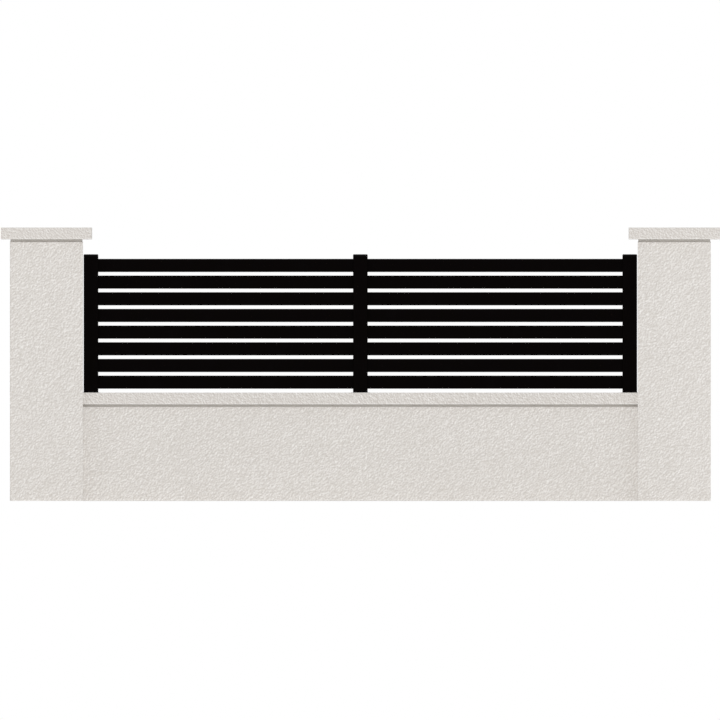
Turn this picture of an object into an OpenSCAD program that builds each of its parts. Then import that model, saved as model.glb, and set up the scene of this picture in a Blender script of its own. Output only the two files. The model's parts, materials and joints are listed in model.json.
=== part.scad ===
// Slatted fence: two bays of level slats held in slotted posts, which stand on the
// coping of a low rendered wall between two capped pillars.
// X runs along the fence, the front faces -Y, and Z is up from the ground. The origin
// is the middle of the footprint at ground level.

/* [Pillars] */
// Width of each square pillar
pillar_w = 400; // [320:10:480]
// How far a pillar's masonry rises above the tops of the posts
pillar_rise = 69; // [30:1:400]
// How far a cap stands out past its pillar on every side
cap_overhang = 50; // [30:5:80]
// Thickness of a pillar's cap
cap_h = 66; // [40:1:100]

/* [Low wall] */
// Height of the wall's masonry above the ground
wall_h = 514; // [300:1:800]
// Thickness of the rendered wall
wall_t = 220; // [160:10:300]
// How far the coping stands out past the wall's front and back
coping_overhang = 40; // [30:5:50]
// Thickness of the coping
coping_h = 66; // [40:1:100]

/* [Beds and drips] */
// Thickness of the mortar bed under a cap and under the coping
bed_h = 12; // [6:1:20]
// How far a bed is raked back behind the faces of the masonry below it
bed_rake = 3; // [1:1:8]
// Distance from the edge of an overhang to its drip groove
drip_in = 12; // [8:1:16]
// Width of a drip groove
drip_w = 10; // [6:1:14]
// Depth of a drip groove
drip_d = 6; // [3:1:10]

/* [Posts] */
// Width of each square post
post_w = 80; // [66:1:100]
// Wall of a post's extrusion
post_wall = 2.5; // [2:0.1:3.5]
// Radius of a post's corners
post_r = 3; // [1:0.5:5]
// Depth of the slot that takes the ends of the slats
slot_d = 22; // [16:1:26]
// Wall of the channel round a slot
slot_wall = 2; // [1.5:0.1:3]
// Joint between an end post and its pillar
post_joint = 3; // [1:0.5:20]

/* [Post caps] */
// Thickness of a post's cap
post_cap_h = 10; // [6:1:20]
// Bevel round the top of a post's cap
post_cap_bevel = 3.5; // [1:0.5:5.5]
// How far a cap's plug reaches down inside the post
plug_d = 18; // [8:1:30]
// Clearance between a cap's plug and the inside of the post
plug_play = 0.5; // [0.2:0.1:1]

/* [Slats] */
// Clear width of a bay, from post to post
bay_w = 1390; // [900:10:2000]
// Slats in a bay
slat_count = 8; // [4:1:12]
// Height of a slat
slat_h = 72; // [40:1:120]
// Thickness of a slat
slat_t = 22; // [16:1:26]
// Wall of a slat's extrusion
slat_wall = 1.5; // [1:0.1:2.5]
// Radius of a slat's corners
slat_r = 2.5; // [1:0.5:3]
// Gap between two slats
slat_gap = 19; // [10:1:40]
// Gap between the coping and the lowest slat
foot_gap = 20; // [10:1:60]
// Gap between the top slat and the caps of the posts
head_gap = 15; // [10:1:60]
// Play between each face of a slat and its slot
slot_play = 1; // [0.5:0.1:2]
// Room left for expansion between a slat's end and the floor of its slot
end_play = 4; // [2:0.5:6]

/* [Hidden] */
$fn = 48;

// Which side of the middle, the post or the bay a piece is on.
LEFT = -1;
MIDDLE = 0;
RIGHT = 1;

render_colour = "#dbd7d2";
cast_colour = "#d9d4cf";
mortar_colour = "#a39e97";
coated_colour = "#1b1a1b";
plastic_colour = "#121112";

// A cutter runs this far past the face that it opens.
cut = 1;

post_pitch = bay_w + post_w;
clear_w = 2 * post_pitch + post_w + 2 * post_joint;
pillar_pitch = clear_w + pillar_w;
cap_w = pillar_w + 2 * cap_overhang;
coping_w = wall_t + 2 * coping_overhang;
fence_z = wall_h + bed_h + coping_h;

slat_pitch = slat_h + slat_gap;
post_h = foot_gap + (slat_count - 1) * slat_pitch + slat_h + head_gap;
pillar_h = fence_z + post_h + post_cap_h + pillar_rise;
slot_w = slat_t + 2 * slot_play;
slot_reach = slot_d - end_play;
slat_len = bay_w + 2 * slot_reach;

// Height of the underside of slat i above the coping, where slat 0 is the lowest.
function slat_z(i) = foot_gap + i * slat_pitch;

// Sides of a post that face a bay, for the post at place.
function slot_sides(place) = [for (side = [LEFT, RIGHT]) if (abs(place + side) <= 1) side];

// Block centred on X and Y that stands on z.
module block(x, size, z) {
    translate([x - size.x / 2, -size.y / 2, z])
        cube(size);
}

module rounded_rect(w, h, r) {
    square([w - 2 * r, h], center = true);
    square([w, h - 2 * r], center = true);
    for (x = [-1, 1], y = [-1, 1])
        translate([x * (w / 2 - r), y * (h / 2 - r)])
            circle(r = r);
}

module low_wall() {
    color(render_colour)
        block(0, [clear_w, wall_t, wall_h], 0);
}

module coping_bed() {
    color(mortar_colour)
        block(0, [clear_w, wall_t - 2 * bed_rake, bed_h], wall_h);
}

// Slab laid along the wall, with a drip groove under its front and back edges.
module wall_coping() {
    groove_y = coping_w / 2 - drip_in - drip_w / 2;
    color(cast_colour)
        difference() {
            block(0, [clear_w, coping_w, coping_h], wall_h + bed_h);
            for (side = [-1, 1])
                translate([0, side * groove_y, 0])
                    block(0, [clear_w + 2 * cut, drip_w, drip_d + cut], wall_h + bed_h - cut);
        }
}

module pillar(side) {
    color(render_colour)
        block(side * pillar_pitch / 2, [pillar_w, pillar_w, pillar_h], 0);
}

module cap_bed(side) {
    bed_w = pillar_w - 2 * bed_rake;
    color(mortar_colour)
        block(side * pillar_pitch / 2, [bed_w, bed_w, bed_h], pillar_h);
}

// Flat slab with a drip groove that runs all round under its overhang.
module pillar_cap(side) {
    x = side * pillar_pitch / 2;
    z = pillar_h + bed_h;
    groove_out = cap_w - 2 * drip_in;
    groove_in = groove_out - 2 * drip_w;
    color(cast_colour)
        difference() {
            block(x, [cap_w, cap_w, cap_h], z);
            difference() {
                block(x, [groove_out, groove_out, drip_d + cut], z - cut);
                block(x, [groove_in, groove_in, drip_d + 2 * cut], z - cut);
            }
        }
}

// Section of a post: a square tube with the channel of a slot in each side that
// faces a bay.
module post_section(sides) {
    hollow = post_w - 2 * post_wall;
    channel_d = slot_d + slot_wall;
    channel_w = slot_w + 2 * slot_wall;
    difference() {
        rounded_rect(post_w, post_w, post_r);
        difference() {
            square([hollow, hollow], center = true);
            for (side = sides)
                translate([side * (post_w - channel_d) / 2, 0])
                    square([channel_d, channel_w], center = true);
        }
        for (side = sides)
            translate([side * (post_w - slot_d + cut) / 2, 0])
                square([slot_d + cut, slot_w], center = true);
    }
}

module post(place) {
    color(coated_colour)
        translate([place * post_pitch, 0, fence_z])
            linear_extrude(post_h)
                post_section(slot_sides(place));
}

// Profile of a post's cap with its two top edges bevelled.
module post_cap_profile() {
    half = post_w / 2;
    polygon([
        [-half, 0],
        [half, 0],
        [half, post_cap_h - post_cap_bevel],
        [half - post_cap_bevel, post_cap_h],
        [post_cap_bevel - half, post_cap_h],
        [-half, post_cap_h - post_cap_bevel]
    ]);
}

// Cap that closes the top of a post: a bevelled lid on a plug that fits between the
// channels of the slots.
module post_cap(place) {
    plug_x = post_w - 2 * (slot_d + slot_wall + plug_play);
    plug_y = post_w - 2 * (post_wall + plug_play);
    color(plastic_colour)
        translate([place * post_pitch, 0, fence_z + post_h]) {
            intersection() {
                rotate([90, 0, 0])
                    linear_extrude(post_w, center = true)
                        post_cap_profile();
                rotate([90, 0, 90])
                    linear_extrude(post_w, center = true)
                        post_cap_profile();
                linear_extrude(post_cap_h)
                    rounded_rect(post_w, post_w, post_r);
            }
            block(0, [plug_x, plug_y, plug_d], -plug_d);
        }
}

// Section of a slat: a box with rounded corners and one web across the middle.
module slat_section() {
    cell_w = slat_t - 2 * slat_wall;
    cell_h = (slat_h - 3 * slat_wall) / 2;
    difference() {
        rounded_rect(slat_t, slat_h, slat_r);
        for (side = [-1, 1])
            translate([0, side * (cell_h + slat_wall) / 2])
                square([cell_w, cell_h], center = true);
    }
}

module panel(side) {
    color(coated_colour)
        for (i = [0 : slat_count - 1])
            translate([side * post_pitch / 2, 0, fence_z + slat_z(i) + slat_h / 2])
                rotate([90, 0, 90])
                    linear_extrude(slat_len, center = true)
                        slat_section();
}

// Block that fills the slot over a height of h and ends level with the post's face,
// where X is 0.
module spacer(h) {
    translate([-slot_reach, -slat_t / 2, 0])
        cube([slot_reach, slat_t, h]);
}

// Stack of spacers at one end of a bay: one on the coping, one on each slat.
module spacers(bay, end) {
    post_face = bay * post_pitch / 2 + end * bay_w / 2;
    color(plastic_colour)
        translate([post_face, 0, fence_z])
            mirror([end == RIGHT ? 1 : 0, 0, 0]) {
                spacer(foot_gap);
                for (i = [0 : slat_count - 2])
                    translate([0, 0, slat_z(i) + slat_h])
                        spacer(slat_gap);
                translate([0, 0, slat_z(slat_count - 1) + slat_h])
                    spacer(head_gap);
            }
}

low_wall();
coping_bed();
wall_coping();
pillar(LEFT);  // left_pillar
pillar(RIGHT);  // right_pillar
cap_bed(LEFT);  // left_cap_bed
cap_bed(RIGHT);  // right_cap_bed
pillar_cap(LEFT);  // left_pillar_cap
pillar_cap(RIGHT);  // right_pillar_cap
post(LEFT);  // left_post
post(MIDDLE);  // middle_post
post(RIGHT);  // right_post
post_cap(LEFT);  // left_post_cap
post_cap(MIDDLE);  // middle_post_cap
post_cap(RIGHT);  // right_post_cap
panel(LEFT);  // left_panel
panel(RIGHT);  // right_panel
spacers(LEFT, LEFT);  // left_bay_left_spacers
spacers(LEFT, RIGHT);  // left_bay_right_spacers
spacers(RIGHT, LEFT);  // right_bay_left_spacers
spacers(RIGHT, RIGHT);  // right_bay_right_spacers
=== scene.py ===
"""Surface shapes and finishes of a slatted fence that stands on a low rendered wall.

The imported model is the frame. The masonry is modelled again with its relief, each piece
at the size and place of its own node, and the fence keeps its nodes and gets its finishes.
"""

import json
import logging
import math
from collections.abc import Callable, Iterator
from contextlib import contextmanager
from dataclasses import dataclass, field
from enum import Enum

import bmesh
import bpy
import numpy as np
from mathutils import Color, Euler, Matrix, Vector


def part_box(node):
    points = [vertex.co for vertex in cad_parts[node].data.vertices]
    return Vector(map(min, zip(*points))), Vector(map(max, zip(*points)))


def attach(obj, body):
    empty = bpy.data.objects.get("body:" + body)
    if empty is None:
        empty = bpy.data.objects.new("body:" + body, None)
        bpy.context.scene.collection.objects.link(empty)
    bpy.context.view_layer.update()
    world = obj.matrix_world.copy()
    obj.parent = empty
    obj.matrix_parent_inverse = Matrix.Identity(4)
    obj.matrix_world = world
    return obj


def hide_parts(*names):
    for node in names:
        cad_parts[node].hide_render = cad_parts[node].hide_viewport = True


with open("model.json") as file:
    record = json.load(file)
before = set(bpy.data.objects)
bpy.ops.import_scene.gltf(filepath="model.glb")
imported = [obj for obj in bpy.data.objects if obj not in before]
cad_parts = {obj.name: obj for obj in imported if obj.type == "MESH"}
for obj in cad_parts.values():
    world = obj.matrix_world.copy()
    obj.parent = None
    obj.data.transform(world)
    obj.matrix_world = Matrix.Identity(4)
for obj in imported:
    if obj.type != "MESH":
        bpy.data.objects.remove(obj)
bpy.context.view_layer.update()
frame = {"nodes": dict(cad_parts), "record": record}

log = logging.getLogger("slatted_fence")

Span = tuple[float, float]
Steps = tuple[float, float, float]
Colour = tuple[float, float, float, float]
Socket = bpy.types.NodeSocket
Setting = Socket | Colour | Vector | float
Element = bmesh.types.BMEdge | bmesh.types.BMFace

# Names under which a masonry piece keeps what its finish reads.
PIT = "pit_depth"
# LEAN keeps how far the relief leans uphill, from which the finish paints light and shade.
LEAN = "upward_lean"
PLACE = "place_on_side"

# Two directions count as the same when the cosine between them is over this.
SAME_WAY = 0.999

# One subdivide cuts an edge into about this many pieces at most.
MOST_PIECES = 100

# A Mix node has inputs of the same name for each kind of data, so the ones for colours
# go by their place in the list.
MIX_FACTOR, MIX_FIRST, MIX_SECOND, MIX_RESULT = 0, 6, 7, 2

# Nearly all of a soft noise lies between these values.
NOISE_SPAN: Span = (0.3, 0.7)

# How far the ends of the wall, its coping and the bed between them run on under the
# render of the pillars, in metres.
LAP = 0.004


class Axis(Enum):
    """One of the three directions of the frame."""

    X = 0
    Y = 1
    Z = 2

    def holds(self, edge: bmesh.types.BMEdge) -> bool:
        """Tell whether an edge runs this way."""
        run = edge.verts[1].co - edge.verts[0].co
        return abs(run[self.value]) > SAME_WAY * run.length


class Run(Enum):
    """How ridges run when a face is seen from the front, in degrees from upright."""

    RISING = 45
    FALLING = -45
    UPRIGHT = 0

    def across(self) -> Vector:
        """Give the upward direction across the ridges."""
        side = math.radians(self.value)
        return Vector((-math.sin(side), 0, math.cos(side)))


class Side(Enum):
    """Pairs of opposite faces of a block, with the turn in degrees that lays the front on them."""

    FRONT = (0, 0, 0)
    END = (0, 0, 90)
    TOP = (-90, 0, 0)

    def turn(self) -> Matrix:
        """Give the turn that lays the front's pattern on these faces."""
        return Euler([math.radians(angle) for angle in self.value]).to_matrix()

    def holds(self, facing: np.ndarray) -> np.ndarray:
        """Tell which directions belong to this pair of faces.

        Args:
            facing: Directions as rows of x, y and z.

        Returns:
            True for each direction that runs mostly out of these faces.
        """
        outward = np.abs(np.array(self.turn() @ Vector((0, 1, 0))))
        return np.abs(facing).argmax(axis=1) == outward.argmax()


class Part(Enum):
    """Kinds of mesh element that are picked in edit mode, with bmesh's name for the list."""

    EDGE = "edges"
    FACE = "faces"


def tint(code: str) -> Colour:
    """Turn a screen colour into the linear values that a shader takes.

    Args:
        code: Six hexadecimal digits, such as "dbd7d2".

    Returns:
        Red, green, blue and an alpha of 1.
    """
    screen = Color([value / 255 for value in bytes.fromhex(code)])
    return (*screen.from_srgb_to_scene_linear(), 1.0)


class Graph:
    """A material's node tree, with a short method for each kind of node that the finishes use."""

    def __init__(self, name: str) -> None:
        """Start a material that holds only its shader and output.

        Args:
            name: Name of the material.
        """
        self.material = bpy.data.materials.new(name)
        self.material.use_nodes = True
        self.tree = self.material.node_tree
        self.shader = self.tree.nodes["Principled BSDF"]

    def feed(self, target: Socket, value: Setting) -> None:
        """Link an input to a socket, or set its value.

        Args:
            target: Input that is fed.
            value: Socket or plain value.
        """
        if isinstance(value, Socket):
            self.tree.links.new(value, target)
        else:
            target.default_value = value

    def node(
        self, kind: str, inputs: dict[str | int, Setting], **settings: str | bool
    ) -> bpy.types.Node:
        """Add one node and fill in its inputs.

        Args:
            kind: Blender's name for the node's type.
            inputs: Value or socket for each input that is set, by its name or place.
            **settings: Properties of the node itself.

        Returns:
            The new node.
        """
        made = self.tree.nodes.new(kind)
        for key, value in settings.items():
            setattr(made, key, value)
        for key, value in inputs.items():
            self.feed(made.inputs[key], value)
        return made

    def own(self) -> Socket:
        """Give the piece's own coordinates in metres."""
        return self.node("ShaderNodeTexCoord", {}).outputs["Object"]

    def kept(self, name: str, output: str = "Fac") -> Socket:
        """Read what the piece keeps all over its surface.

        Args:
            name: Name under which it is kept.
            output: "Fac" for one value, or "Vector" for three.

        Returns:
            Socket with what is kept.
        """
        return self.node("ShaderNodeAttribute", {}, attribute_name=name).outputs[output]

    def turned(self, where: Socket, run: Run, stretch: float, uphill: float) -> Socket:
        """Turn and stretch coordinates as a relief is.

        Args:
            where: Coordinates in metres.
            run: Which way the ridges run.
            stretch: How much longer than wide a ridge is.
            uphill: How far the relief is moved across its ridges, upwards, in metres.

        Returns:
            Socket with the turned coordinates.
        """
        made = self.node(
            "ShaderNodeMapping",
            {
                "Vector": where,
                "Location": uphill * run.across(),
                "Rotation": Vector((0, math.radians(run.value), 0)),
                "Scale": Vector((1, 1, stretch)),
            },
            vector_type="TEXTURE",
        )
        return made.outputs["Vector"]

    def noise(self, where: Socket, size: float, detail: float, rough: float = 0.5) -> Socket:
        """Add soft noise.

        Args:
            where: Coordinates in metres.
            size: Size of one grain in metres.
            detail: Number of finer octaves.
            rough: Weight of the finer octaves.

        Returns:
            Socket with a value from 0 to 1.
        """
        made = self.node(
            "ShaderNodeTexNoise",
            {"Vector": where, "Scale": 1 / size, "Detail": detail, "Roughness": rough},
        )
        return made.outputs["Fac"]

    def combine(self, operation: str, first: Socket, second: Socket) -> Socket:
        """Work one value out of two.

        Args:
            operation: Blender's name for the operation.
            first: First value.
            second: Second value.

        Returns:
            Socket with the result.
        """
        made = self.node("ShaderNodeMath", {0: first, 1: second}, operation=operation)
        return made.outputs["Value"]

    def spread(self, value: Socket, source: Span, target: Span) -> Socket:
        """Map one range of values onto another, and hold the result within it.

        Args:
            value: Value to map.
            source: Lowest and highest value that comes in.
            target: Values that they become.

        Returns:
            Socket with the mapped value.
        """
        made = self.node(
            "ShaderNodeMapRange",
            {
                "Value": value,
                "From Min": source[0],
                "From Max": source[1],
                "To Min": target[0],
                "To Max": target[1],
            },
        )
        return made.outputs["Result"]

    def blend(self, factor: Socket, first: Socket | Colour, second: Socket | Colour) -> Socket:
        """Mix two colours.

        Args:
            factor: Share of the second colour.
            first: Colour or socket.
            second: Colour or socket.

        Returns:
            Socket with the mixed colour.
        """
        made = self.node(
            "ShaderNodeMix",
            {MIX_FACTOR: factor, MIX_FIRST: first, MIX_SECOND: second},
            data_type="RGBA",
            clamp_result=True,
        )
        return made.outputs[MIX_RESULT]

    def bump(self, height: Socket, depth: float, under: Socket | None = None) -> Socket:
        """Add fine relief to the normal.

        Args:
            height: Height from 0 to 1.
            depth: Depth of the relief in metres.
            under: Normal that this relief lies on, if there is one.

        Returns:
            Socket with the bent normal.
        """
        inputs: dict[str | int, Setting] = {"Height": height, "Distance": depth, "Strength": 1.0}
        if under is not None:
            inputs["Normal"] = under
        return self.node("ShaderNodeBump", inputs).outputs["Normal"]

    def finish(self, **sockets: Setting) -> bpy.types.Material:
        """Fill in the shader.

        Args:
            **sockets: Value or socket for each of the shader's inputs, with _ for a space.

        Returns:
            The finished material.
        """
        for key, value in sockets.items():
            self.feed(self.shader.inputs[key.replace("_", " ")], value)
        return self.material


def choose(piece: bpy.types.Object) -> None:
    """Make one object the only selected one, and the active one.

    Args:
        piece: Object that is chosen.
    """
    bpy.ops.object.select_all(action="DESELECT")
    piece.select_set(True)
    bpy.context.view_layer.objects.active = piece


@contextmanager
def editing(piece: bpy.types.Object) -> Iterator[None]:
    """Open one object in edit mode, and close it again.

    Args:
        piece: Mesh object.

    Returns:
        Context in which the object is in edit mode.
    """
    choose(piece)
    bpy.ops.object.mode_set(mode="EDIT")
    yield
    bpy.ops.object.mode_set(mode="OBJECT")


def pick(piece: bpy.types.Object, part: Part, wanted: Callable[[Element], bool]) -> None:
    """Select only the edges or faces that pass a test.

    Args:
        piece: Mesh object in edit mode.
        part: Kind of element.
        wanted: Test that takes one element.
    """
    bpy.ops.mesh.select_mode(type=part.name)
    bpy.ops.mesh.select_all(action="DESELECT")
    mesh = bmesh.from_edit_mesh(piece.data)
    for element in getattr(mesh, part.value):
        element.select_set(wanted(element))
    bmesh.update_edit_mesh(piece.data)


def add_block(name: str, low: Vector, high: Vector) -> bpy.types.Object:
    """Add a block between two corners, with its place in its mesh.

    Args:
        name: Name of the object.
        low: Lowest corner.
        high: Highest corner.

    Returns:
        The new object.
    """
    bpy.ops.object.select_all(action="DESELECT")
    bpy.ops.mesh.primitive_cube_add(size=1, location=(low + high) / 2, scale=high - low)
    piece = bpy.context.object
    piece.name = name
    piece.data.name = name
    bpy.ops.object.transform_apply(location=True, rotation=True, scale=True)
    return piece


def subtract(piece: bpy.types.Object, low: Vector, high: Vector) -> None:
    """Cut a block out of a piece.

    Args:
        piece: Piece that is cut.
        low: Lowest corner of what is taken away.
        high: Highest corner of what is taken away.
    """
    cutter = add_block("cutter", low, high)
    choose(piece)
    modifier = piece.modifiers.new("groove", "BOOLEAN")
    modifier.operation = "DIFFERENCE"
    modifier.object = cutter
    modifier.solver = "EXACT"
    bpy.ops.object.modifier_apply(modifier=modifier.name)
    bpy.data.objects.remove(cutter)


def cut_edges(piece: bpy.types.Object, axis: Axis, length: float, pieces: int) -> None:
    """Cut the edges of about one length that run along one axis into equal pieces.

    Args:
        piece: Mesh object in edit mode.
        axis: Direction of the edges.
        length: Length of the edges in metres.
        pieces: Number of pieces that each becomes.
    """
    pick(piece, Part.EDGE, lambda edge: axis.holds(edge) and edge.calc_length() > length / 2)
    if pieces > 1:
        bpy.ops.mesh.subdivide(number_cuts=pieces - 1)


def divide(piece: bpy.types.Object, axis: Axis, step: float) -> None:
    """Cut the long edges that run along one axis into short ones, coarsely and then finely.

    Args:
        piece: Piece whose edges are cut.
        axis: Direction of the edges.
        step: Length that each edge should have afterwards, in metres.
    """
    length = float(np.ptp(points(piece)[:, axis.value]))
    parts = max(2, round(length / step))
    fine = math.ceil(parts / MOST_PIECES)
    coarse = round(parts / fine)
    with editing(piece):
        cut_edges(piece, axis, length, coarse)
        cut_edges(piece, axis, length / coarse, fine)


def points(piece: bpy.types.Object) -> np.ndarray:
    """Read the places of a piece's points.

    Args:
        piece: Mesh object.

    Returns:
        Rows of x, y and z.
    """
    places = np.empty(len(piece.data.vertices) * 3)
    piece.data.vertices.foreach_get("co", places)
    return places.reshape(-1, 3)


def normals(piece: bpy.types.Object) -> np.ndarray:
    """Read the directions in which a piece's points face.

    Args:
        piece: Mesh object.

    Returns:
        Rows of x, y and z.
    """
    piece.data.update()
    facing = np.empty(len(piece.data.vertices) * 3)
    piece.data.vertex_normals.foreach_get("vector", facing)
    return facing.reshape(-1, 3)


@dataclass(frozen=True)
class Relief:
    """Lumps and pits that are pressed into a surface from outside.

    Attributes:
        size: Size of one lump in metres.
        depth: Deepest point in metres.
        run: Which way the ridges of lumps run.
        stretch: How much longer than wide a ridge is.
        octaves: Number of finer layers within the lumps.
    """

    size: float
    depth: float
    run: Run
    stretch: float
    octaves: int = 2

    def press(self, piece: bpy.types.Object, side: Side) -> None:
        """Push one pair of faces inwards.

        Args:
            piece: Mesh object that is finely divided, with a vertex group for the side.
            side: Pair of faces.
        """
        lumps = bpy.data.textures.new("lumps", "CLOUDS")
        lumps.noise_scale = self.size
        lumps.noise_depth = self.octaves
        turn = side.turn() @ Matrix.Rotation(math.radians(self.run.value), 3, "Y")
        bpy.ops.object.empty_add(rotation=turn.to_euler())
        guide = bpy.context.object
        guide.scale = (1, 1, self.stretch)
        bpy.context.view_layer.update()
        choose(piece)
        modifier = piece.modifiers.new("relief", "DISPLACE")
        modifier.texture = lumps
        modifier.texture_coords = "OBJECT"
        modifier.texture_coords_object = guide
        modifier.vertex_group = side.name
        modifier.mid_level = 1.0
        modifier.strength = self.depth
        bpy.ops.object.modifier_apply(modifier=modifier.name)
        bpy.data.objects.remove(guide)
        bpy.data.textures.remove(lumps)


@dataclass(frozen=True)
class Mineral:
    """Finish of render, cast stone or mortar: ridges with painted light and shade, darker pits and
    a sandy grain.

    Attributes:
        slot: Material slot of the record.
        painted_light: Colour of the painted light on what faces up.
        painted_shade: Colour of the painted shade on what faces down.
        pit_and_patch_tone: Colour towards which the pits and the weathered patches darken.
        relief: Lumps and pits of the surface.
        grain: Size of the fine ridges in metres.
        grain_depth: Depth of the fine ridges in metres.
        stretch: How much longer than wide a fine ridge is.
        reach: Distance to both sides over which a fine ridge's rise is read, as a share of
            its size.
        slope: Rise, as a share of a fine ridge's depth, at which its painted light and shade are
            full.
        lean: How far a slope leans, as a sine, before its painted light and shade are full.
        pit_depth: Depth at which a pit has its full colour, in metres.
        pit_start: Depth at which a pit starts to darken, as a share of pit_depth.
        pit_darkening: Most darkening in a pit, as a share.
        patch: Size of a weathered patch in metres.
        patch_edge: Values of the patches' noise where a patch starts and where it is full.
        patch_dust: Most dust on a weathered patch, as a share.
        sand: Size of a grain of sand in metres.
        sand_depth: How far a grain of sand stands out in metres.
        roughness: Roughness between the grains of sand and on them.
        gloss: Level of the sheen.
    """

    slot: str
    painted_light: str
    painted_shade: str
    pit_and_patch_tone: str
    relief: Relief
    grain: float
    grain_depth: float = 0.0030
    stretch: float = 1.4
    reach: float = 1 / 3
    slope: float = 0.20
    lean: float = 0.35
    pit_depth: float = 0.003
    pit_start: float = 0.4
    pit_darkening: float = 0.8
    patch: float = 0.35
    patch_edge: Span = (0.4, 0.7)
    patch_dust: float = 0.08
    sand: float = 0.003
    sand_depth: float = 0.0002
    roughness: Span = (0.85, 0.97)
    gloss: float = 0.25

    def material(self) -> bpy.types.Material:
        """Build the finish.

        Returns:
            The finished material.
        """
        graph = Graph(f"{self.slot}_finish")
        where = graph.kept(PLACE, "Vector")
        # Painted light and shade: what faces up is lighter and what faces down darker, as a light
        # from above would make it.
        colour = graph.blend(self.facing(graph, where), tint(self.painted_shade), tint(self.painted_light))
        # The pits are darker the deeper they are.
        pit_span = (self.pit_start * self.pit_depth, self.pit_depth)
        pits = graph.spread(graph.kept(PIT), pit_span, (0.0, self.pit_darkening))
        colour = graph.blend(pits, colour, tint(self.pit_and_patch_tone))
        clouds = graph.noise(graph.own(), self.patch, detail=3.0)
        patches = graph.spread(clouds, self.patch_edge, (0.0, self.patch_dust))
        colour = graph.blend(patches, colour, tint(self.pit_and_patch_tone))
        ridges = graph.bump(self.ridges(graph, where), self.grain_depth)
        sand = graph.noise(where, self.sand, detail=1.0)
        return graph.finish(
            Base_Color=colour,
            Roughness=graph.spread(sand, NOISE_SPAN, self.roughness),
            Normal=graph.bump(sand, self.sand_depth, ridges),
            Specular_IOR_Level=self.gloss,
        )

    def ridges(self, graph: Graph, where: Socket, uphill: float = 0.0) -> Socket:
        """Add the fine ridges.

        Args:
            graph: Material that they belong to.
            where: Place on the side of the piece.
            uphill: How far they are moved across themselves, upwards, in metres.

        Returns:
            Socket with their height from 0 to 1.
        """
        turned = graph.turned(where, self.relief.run, self.stretch, uphill)
        return graph.noise(turned, self.grain, detail=1.0)

    def facing(self, graph: Graph, where: Socket) -> Socket:
        """Work out the painted light and shade from how far the surface faces up, on its lumps and
        on its fine ridges.

        Args:
            graph: Material that reads it.
            where: Place on the side of the piece.

        Returns:
            Socket that runs from 0, facing down and painted in shade, to 1, facing up and painted
            in light.
        """
        reach = self.reach * self.grain
        below, above = self.ridges(graph, where, reach), self.ridges(graph, where, -reach)
        # The slope of the fine ridges across them, painted as light where they face up and as
        # shade where they face down.
        rise = graph.combine("SUBTRACT", below, above)
        fine = graph.spread(rise, (-self.slope, self.slope), (-0.5, 0.5))
        coarse = graph.spread(graph.kept(LEAN), (-self.lean, self.lean), (0.0, 1.0))
        return graph.combine("ADD", coarse, fine)


@dataclass(frozen=True)
class PowderCoat:
    """Finish of the coated metal: near black, matt, with a fine orange-peel texture.

    Attributes:
        slot: Material slot of the record.
        base: Main colour.
        worn: Slightly lighter colour of the patches of dust.
        peel: Size of a dimple of the orange peel in metres.
        peel_depth: Depth of a dimple in metres.
        patch: Size of a dusty patch in metres.
        patch_edge: Values of the patches' noise where a patch starts and where it is full.
        roughness: Roughness of the clean coat and of the dustiest patch.
        gloss: Level of the sheen.
    """

    slot: str
    base: str
    worn: str
    peel: float = 0.0016
    peel_depth: float = 0.00012
    patch: float = 0.11
    patch_edge: Span = (0.45, 0.75)
    roughness: Span = (0.52, 0.66)
    gloss: float = 0.015

    def material(self) -> bpy.types.Material:
        """Build the finish.

        Returns:
            The finished material.
        """
        graph = Graph(f"{self.slot}_finish")
        peel = graph.noise(graph.own(), self.peel, detail=2.0)
        film = graph.noise(graph.own(), self.patch, detail=4.0, rough=0.6)
        dust = graph.spread(film, self.patch_edge, (0.0, 1.0))
        return graph.finish(
            Base_Color=graph.blend(dust, tint(self.base), tint(self.worn)),
            Roughness=graph.spread(film, NOISE_SPAN, self.roughness),
            Normal=graph.bump(peel, self.peel_depth),
            Specular_IOR_Level=self.gloss,
        )


@dataclass(frozen=True)
class MouldedPlastic:
    """Finish of the caps and spacers: black plastic with a spark-eroded mould grain.

    Attributes:
        slot: Material slot of the record.
        base: Main colour.
        faded: Colour where sun has greyed it.
        grain: Size of the mould grain in metres.
        grain_depth: Depth of the mould grain in metres.
        patch: Size of a faded patch in metres.
        patch_edge: Values of the patches' noise where a patch starts and where it is full.
        roughness: Roughness of the fresh plastic and of the most faded patch.
        gloss: Level of the sheen.
    """

    slot: str
    base: str
    faded: str
    grain: float = 0.0009
    grain_depth: float = 0.00008
    patch: float = 0.03
    patch_edge: Span = (0.4, 0.7)
    roughness: Span = (0.42, 0.56)
    gloss: float = 0.04

    def material(self) -> bpy.types.Material:
        """Build the finish.

        Returns:
            The finished material.
        """
        graph = Graph(f"{self.slot}_finish")
        grain = graph.noise(graph.own(), self.grain, detail=1.0)
        patches = graph.noise(graph.own(), self.patch, detail=3.0)
        fading = graph.spread(patches, self.patch_edge, (0.0, 1.0))
        return graph.finish(
            Base_Color=graph.blend(fading, tint(self.base), tint(self.faded)),
            Roughness=graph.spread(patches, NOISE_SPAN, self.roughness),
            Normal=graph.bump(grain, self.grain_depth),
            Specular_IOR_Level=self.gloss,
        )


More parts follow.
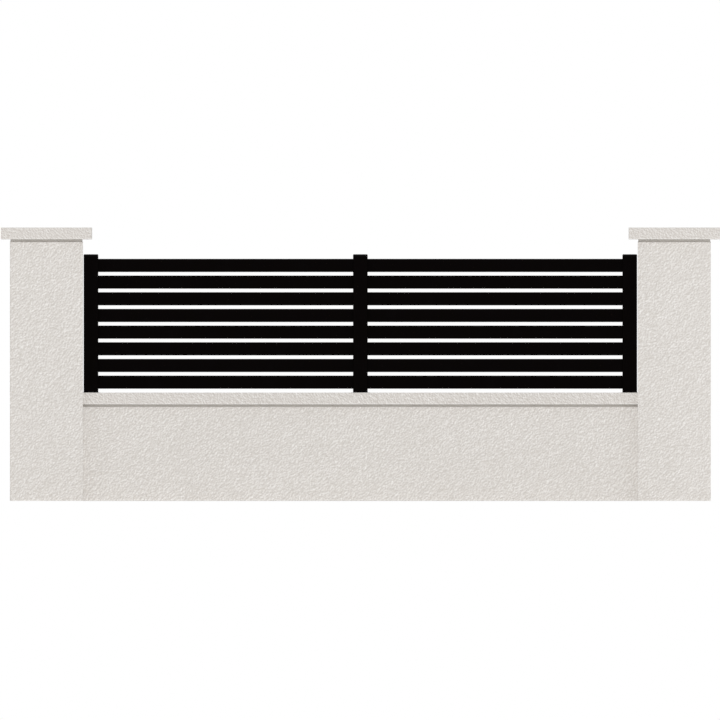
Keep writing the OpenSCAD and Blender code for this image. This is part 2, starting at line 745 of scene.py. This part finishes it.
# Each mineral finish paints light on what faces up in its first colour and shade on what faces
# down in its second.
RENDER = Mineral(
    slot="wall_render",
    painted_light="eeece9",
    painted_shade="cfcac6",
    pit_and_patch_tone="c8c3bd",
    relief=Relief(size=0.006, depth=0.0040, run=Run.RISING, stretch=1.8),
    grain=0.009,
)
CAST = Mineral(
    slot="cast_stone",
    painted_light="eceae7",
    painted_shade="cbc6c1",
    pit_and_patch_tone="c5bfb9",
    relief=Relief(size=0.006, depth=0.0040, run=Run.FALLING, stretch=1.6),
    grain=0.008,
)
MORTAR = Mineral(
    slot="bed_mortar",
    painted_light="ece9e5",
    painted_shade="e5e1dc",
    pit_and_patch_tone="d9d4cd",
    relief=Relief(size=0.005, depth=0.0015, run=Run.UPRIGHT, stretch=1.0),
    grain=0.006,
    grain_depth=0.0008,
    stretch=1.0,
    pit_depth=0.0012,
    sand=0.002,
    sand_depth=0.0003,
)
COAT = PowderCoat(slot="coated_metal", base="030101", worn="050302")
PLASTIC = MouldedPlastic(slot="black_plastic", base="040202", faded="070505")


@dataclass
class MasonryPiece:
    """A block of masonry with eased arrises and rough faces.

    Attributes:
        node: CAD node that it stands for.
        finish: Finish of its surface.
        steps: Distance between points along X, Y and Z, in metres.
        arris: How far the edges are eased, in metres.
        eased: Directions of the edges that are eased.
        lap: How far its ends run on under the render of the pillars, in metres.
        bed_top: Whether its top stays level, because it is bedded.
        feet: Nodes that stand on it, where its top is level.
        rings: Number of steps across an eased edge.
        level_steps: How many steps round a foot stay level too.
        crease: Angle between two faces over which their edge shows, in degrees.
        piece: The object that is built.
    """

    node: str
    finish: Mineral
    steps: Steps
    arris: float = 0.004
    eased: tuple[Axis, ...] = tuple(Axis)
    lap: float = 0.0
    bed_top: bool = False
    feet: tuple[str, ...] = ()
    rings: int = 2
    level_steps: int = 2
    crease: float = 50.0
    piece: bpy.types.Object = field(init=False)

    def build(self, materials: dict[str, bpy.types.Material]) -> None:
        """Model the piece, dress it and put it on the frame.

        Args:
            materials: Finished materials by slot.
        """
        low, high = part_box(self.node)
        low.x -= self.lap
        high.x += self.lap
        self.piece = add_block(f"{self.node}_surface", low, high)
        self.ease_edges()
        self.cut_grooves(low, high)
        for axis in (Axis.X, Axis.Z, Axis.Y):
            divide(self.piece, axis, self.steps[axis.value])
        self.roughen(low, high)
        self.dress(materials[self.finish.slot])
        log.info("%s: %d faces", self.piece.name, len(self.piece.data.polygons))

    def ease_edges(self) -> None:
        """Take the sharp arrises off."""
        with editing(self.piece):
            pick(self.piece, Part.EDGE, lambda edge: any(axis.holds(edge) for axis in self.eased))
            bpy.ops.mesh.bevel(offset=self.arris, segments=self.rings, affect="EDGES")

    def cut_grooves(self, low: Vector, high: Vector) -> None:
        """Leave the underside whole, as it is on a plain block."""

    def roughen(self, low: Vector, high: Vector) -> None:
        """Press the relief in, and keep the depth and the lean at each point for the finish.

        Args:
            low: Lowest corner of the piece.
            high: Highest corner of the piece.
        """
        self.lay_pattern()
        level_points, level_normals = points(self.piece), normals(self.piece)
        height = level_points[:, 2]
        free = height > low.z + self.arris / 2
        if self.bed_top:
            free &= height < high.z - self.arris / 2
        for foot in self.feet:
            free &= ~self.under(foot, level_points)
        on_side = {side: side.holds(level_normals) for side in Side}
        for side, chosen in on_side.items():
            group = self.piece.vertex_groups.new(name=side.name)
            group.add(np.flatnonzero(chosen & free).tolist(), 1.0, "REPLACE")
            self.finish.relief.press(self.piece, side)
        self.piece.vertex_groups.clear()
        # The lean uphill of the pressed relief sets the finish's painted light and shade:
        # up-facing slopes lighter, down-facing darker.
        change = normals(self.piece) - level_normals
        lean = np.zeros(len(change))
        for side, chosen in on_side.items():
            uphill = side.turn() @ self.finish.relief.run.across()
            lean[chosen] = change[chosen] @ np.array(uphill)
        self.keep(LEAN, "POINT", lean)
        self.keep(PIT, "POINT", np.linalg.norm(points(self.piece) - level_points, axis=1))

    def under(self, foot: str, places: np.ndarray) -> np.ndarray:
        """Tell which points lie under something that stands on the piece.

        Args:
            foot: Node that stands on it.
            places: Points as rows of x, y and z.

        Returns:
            True for each point that lies under it or close to it.
        """
        margin = self.level_steps * max(self.steps)
        low, high = (np.array(corner)[:2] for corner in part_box(foot))
        flat = places[:, :2]
        return ((flat > low - margin) & (flat < high + margin)).all(axis=1)

    def lay_pattern(self) -> None:
        """Keep, at each corner of each face, its place as seen square on to its own side."""
        mesh = self.piece.data
        corners = np.empty(len(mesh.loops), dtype=np.int32)
        mesh.loops.foreach_get("vertex_index", corners)
        counts = np.empty(len(mesh.polygons), dtype=np.int32)
        mesh.polygons.foreach_get("loop_total", counts)
        facing = np.empty(len(mesh.polygons) * 3)
        mesh.polygons.foreach_get("normal", facing)
        facing = np.repeat(facing.reshape(-1, 3), counts, axis=0)
        places = points(self.piece)[corners]
        for side in Side:
            chosen = side.holds(facing)
            places[chosen] = places[chosen] @ np.array(side.turn())
        self.keep(PLACE, "CORNER", places)

    def keep(self, name: str, domain: str, values: np.ndarray) -> None:
        """Keep values on the mesh.

        Args:
            name: Name under which they are kept.
            domain: "POINT" or "CORNER".
            values: One value or one row of three for each.
        """
        kind, value_name = ("FLOAT", "value") if values.ndim == 1 else ("FLOAT_VECTOR", "vector")
        kept = self.piece.data.attributes.new(name, kind, domain)
        kept.data.foreach_set(value_name, values.ravel().astype(np.float32))

    def dress(self, material: bpy.types.Material) -> None:
        """Shade the piece, give it its finish and let it stand for its node.

        Args:
            material: The finished material.
        """
        choose(self.piece)
        bpy.ops.object.shade_smooth_by_angle(angle=math.radians(self.crease))
        self.piece.data.materials.clear()
        self.piece.data.materials.append(material)
        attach(self.piece, "root")
        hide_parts(self.node)


@dataclass
class LowWall(MasonryPiece):
    """The rendered wall, whose square ends run on under the render of the pillars."""

    finish: Mineral = RENDER
    steps: Steps = (0.0062, 0.022, 0.0062)
    eased: tuple[Axis, ...] = (Axis.X,)
    lap: float = LAP
    bed_top: bool = True


@dataclass
class Pillar(MasonryPiece):
    """A rendered pillar, whose arrises are crisper than the wall's."""

    finish: Mineral = RENDER
    steps: Steps = (0.0055, 0.0055, 0.0055)
    arris: float = 0.0015
    bed_top: bool = True


@dataclass
class CapBed(MasonryPiece):
    """The square mortar bed under a pillar's cap."""

    finish: Mineral = MORTAR
    steps: Steps = (0.008, 0.008, 0.003)
    arris: float = 0.001
    bed_top: bool = True


@dataclass
class CopingBed(MasonryPiece):
    """The mortar bed under the coping, which runs from pillar to pillar."""

    finish: Mineral = MORTAR
    steps: Steps = (0.008, 0.03, 0.003)
    arris: float = 0.001
    eased: tuple[Axis, ...] = (Axis.X,)
    lap: float = LAP
    bed_top: bool = True


@dataclass
class Slab(MasonryPiece):
    """A slab of cast stone with a drip groove in its underside.

    Attributes:
        drip_in: Distance from the edge to the groove, in metres.
        drip_width: Width of the groove in metres.
        drip_depth: Depth of the groove in metres.
    """

    finish: Mineral = CAST
    steps: Steps = (0.0055, 0.0055, 0.0055)
    drip_in: float = 0.012
    drip_width: float = 0.010
    drip_depth: float = 0.006


@dataclass
class Coping(Slab):
    """The slab along the wall, with a groove under its front and back edges.

    Attributes:
        past: How far a cutter runs past the faces that it opens, in metres.
    """

    eased: tuple[Axis, ...] = (Axis.X,)
    lap: float = LAP
    feet: tuple[str, ...] = ("left_post", "middle_post", "right_post")
    past: float = 0.01

    def cut_grooves(self, low: Vector, high: Vector) -> None:
        """Cut both grooves from end to end.

        Args:
            low: Lowest corner of the slab.
            high: Highest corner of the slab.
        """
        for near in (low.y + self.drip_in, high.y - self.drip_in - self.drip_width):
            start = Vector((low.x - self.past, near, low.z - self.past))
            end = Vector((high.x + self.past, near + self.drip_width, low.z + self.drip_depth))
            subtract(self.piece, start, end)


@dataclass
class PillarCap(Slab):
    """The square slab on a pillar, whose groove runs all round."""

    def cut_grooves(self, low: Vector, high: Vector) -> None:
        """Sink a square ring into the underside.

        Args:
            low: Lowest corner of the slab.
            high: Highest corner of the slab.
        """
        middle = (low + high) / 2
        outer = (high.x - low.x) / 2 - self.drip_in
        inner = outer - self.drip_width

        def is_underside(face: bmesh.types.BMFace) -> bool:
            """Tell whether a face looks straight down."""
            return face.normal.z < -SAME_WAY

        def is_ring(face: bmesh.types.BMFace) -> bool:
            """Tell whether a face of the underside lies between the two inset squares."""
            away = face.calc_center_median() - middle
            return is_underside(face) and inner < max(abs(away.x), abs(away.y)) < outer

        with editing(self.piece):
            pick(self.piece, Part.FACE, is_underside)
            bpy.ops.mesh.inset(thickness=self.drip_in - self.arris)
            bpy.ops.mesh.inset(thickness=self.drip_width)
            pick(self.piece, Part.FACE, is_ring)
            sink = {"value": (0, 0, self.drip_depth)}
            bpy.ops.mesh.extrude_region_move(TRANSFORM_OT_translate=sink)


@dataclass
class Fence:
    """The metal fence, whose posts, panels, caps and spacers keep their nodes.

    Attributes:
        slots: Material slots of its finishes.
    """

    slots: tuple[str, ...] = (COAT.slot, PLASTIC.slot)

    def dress(self, materials: dict[str, bpy.types.Material]) -> None:
        """Give every piece of the fence its finish.

        Args:
            materials: Finished materials by slot.
        """
        for part in frame["record"]["subparts"]:
            node, slot = part["node"], part["material_slot"]
            if slot in self.slots:
                mesh = frame["nodes"][node].data
                mesh.materials.clear()
                mesh.materials.append(materials[slot])
                log.info("%s: %s", node, slot)


@dataclass(frozen=True)
class Sun:
    """A soft lamp that lights everything from one direction.

    Attributes:
        name: Name of the lamp.
        azimuth: Degrees from the front towards the right, where the lamp stands.
        height: Degrees above the ground.
        strength: Strength of the lamp.
        spread: Angle across the lamp in degrees, which softens the shadows.
    """

    name: str
    azimuth: float
    height: float
    strength: float
    spread: float

    def add(self) -> None:
        """Put the lamp in the scene."""
        bpy.ops.object.select_all(action="DESELECT")
        bpy.ops.object.light_add(type="SUN")
        lamp = bpy.context.object
        lamp.name = self.name
        side, tilt = math.radians(self.azimuth), math.radians(self.height)
        level = math.cos(tilt)
        towards = Vector((math.sin(side) * level, -math.cos(side) * level, math.sin(tilt)))
        lamp.rotation_euler = towards.to_track_quat("Z", "Y").to_euler()
        lamp.data.energy = self.strength
        lamp.data.angle = math.radians(self.spread)


@dataclass
class Studio:
    """Floor, light, background and camera.

    Attributes:
        floor_colour: Colour of the floor.
        floor_radius: Radius of the floor in metres.
        floor_sides: Number of straight sides round the floor.
        floor_roughness: Roughness of the floor.
        floor_gloss: Level of the floor's sheen.
        ambient: Strength of the light from all round.
        suns: The lamps, the main one in front and a broad one behind.
        view_distance: Distance of the camera in front of the fence, in metres.
        view_end: How far the camera sees, in metres.
        view_width: Width of the view in metres.
        view_height: Height of the middle of the view above the ground, in metres.
        view_shift: How far left of the middle of the fence the view's middle is, in metres.
    """

    floor_colour: str = "f2f1ef"
    floor_radius: float = 120.0
    floor_sides: int = 96
    floor_roughness: float = 0.9
    floor_gloss: float = 0.1
    ambient: float = 0.46
    suns: tuple[Sun, ...] = (
        Sun("key", azimuth=0, height=16.7, strength=1.67, spread=3),
        Sun("back", azimuth=168, height=24, strength=1.4, spread=25),
    )
    view_distance: float = 60.0
    view_end: float = 240.0
    view_width: float = 3.929
    view_height: float = 0.769
    view_shift: float = 0.0020

    def build(self) -> None:
        """Set the whole studio up."""
        self.add_floor()
        self.add_world()
        for sun in self.suns:
            sun.add()
        self.add_camera()
        bpy.context.scene.view_settings.view_transform = "Standard"

    def add_floor(self) -> None:
        """Lay a plain pale floor."""
        bpy.ops.object.select_all(action="DESELECT")
        bpy.ops.mesh.primitive_circle_add(
            vertices=self.floor_sides, radius=self.floor_radius, fill_type="NGON"
        )
        floor = bpy.context.object
        floor.name = "floor"
        matt = Graph("pale_floor").finish(
            Base_Color=tint(self.floor_colour),
            Roughness=self.floor_roughness,
            Specular_IOR_Level=self.floor_gloss,
        )
        floor.data.materials.append(matt)

    def add_world(self) -> None:
        """Light the scene softly from all round, and show white behind it."""
        world = bpy.data.worlds.new("studio")
        bpy.context.scene.world = world
        world.use_nodes = True
        nodes, links = world.node_tree.nodes, world.node_tree.links
        light = nodes["Background"]
        light.inputs["Color"].default_value = (1, 1, 1, 1)
        light.inputs["Strength"].default_value = self.ambient
        white = nodes.new("ShaderNodeBackground")
        white.inputs["Color"].default_value = (1, 1, 1, 1)
        rays = nodes.new("ShaderNodeLightPath")
        sees_white = rays.outputs["Is Camera Ray"]
        for ray in ("Is Glossy Ray", "Is Transmission Ray"):
            either = nodes.new("ShaderNodeMath")
            either.operation = "MAXIMUM"
            links.new(sees_white, either.inputs[0])
            links.new(rays.outputs[ray], either.inputs[1])
            sees_white = either.outputs["Value"]
        mix = nodes.new("ShaderNodeMixShader")
        sources = (sees_white, light.outputs["Background"], white.outputs["Background"])
        for source, target in zip(sources, mix.inputs):
            links.new(source, target)
        links.new(mix.outputs["Shader"], nodes["World Output"].inputs["Surface"])

    def add_camera(self) -> None:
        """Look at the front, square on and with no perspective."""
        bpy.ops.object.select_all(action="DESELECT")
        place = (-self.view_shift, -self.view_distance, self.view_height)
        bpy.ops.object.camera_add(location=place, rotation=(math.radians(90), 0, 0))
        camera = bpy.context.object
        camera.data.type = "ORTHO"
        camera.data.ortho_scale = self.view_width
        camera.data.clip_end = self.view_end
        bpy.context.scene.camera = camera


def main() -> None:
    """Build every piece in order."""
    logging.basicConfig(level=logging.INFO, format="%(name)s %(message)s")
    finishes = (RENDER, CAST, MORTAR, COAT, PLASTIC)
    materials = {finish.slot: finish.material() for finish in finishes}
    masonry: tuple[MasonryPiece, ...] = (
        LowWall("low_wall"),
        Pillar("left_pillar"),
        Pillar("right_pillar"),
        CopingBed("coping_bed"),
        CapBed("left_cap_bed"),
        CapBed("right_cap_bed"),
        Coping("wall_coping"),
        PillarCap("left_pillar_cap"),
        PillarCap("right_pillar_cap"),
    )
    for piece in masonry:
        piece.build(materials)
    Fence().dress(materials)
    Studio().build()


if __name__ == "__main__":
    main()
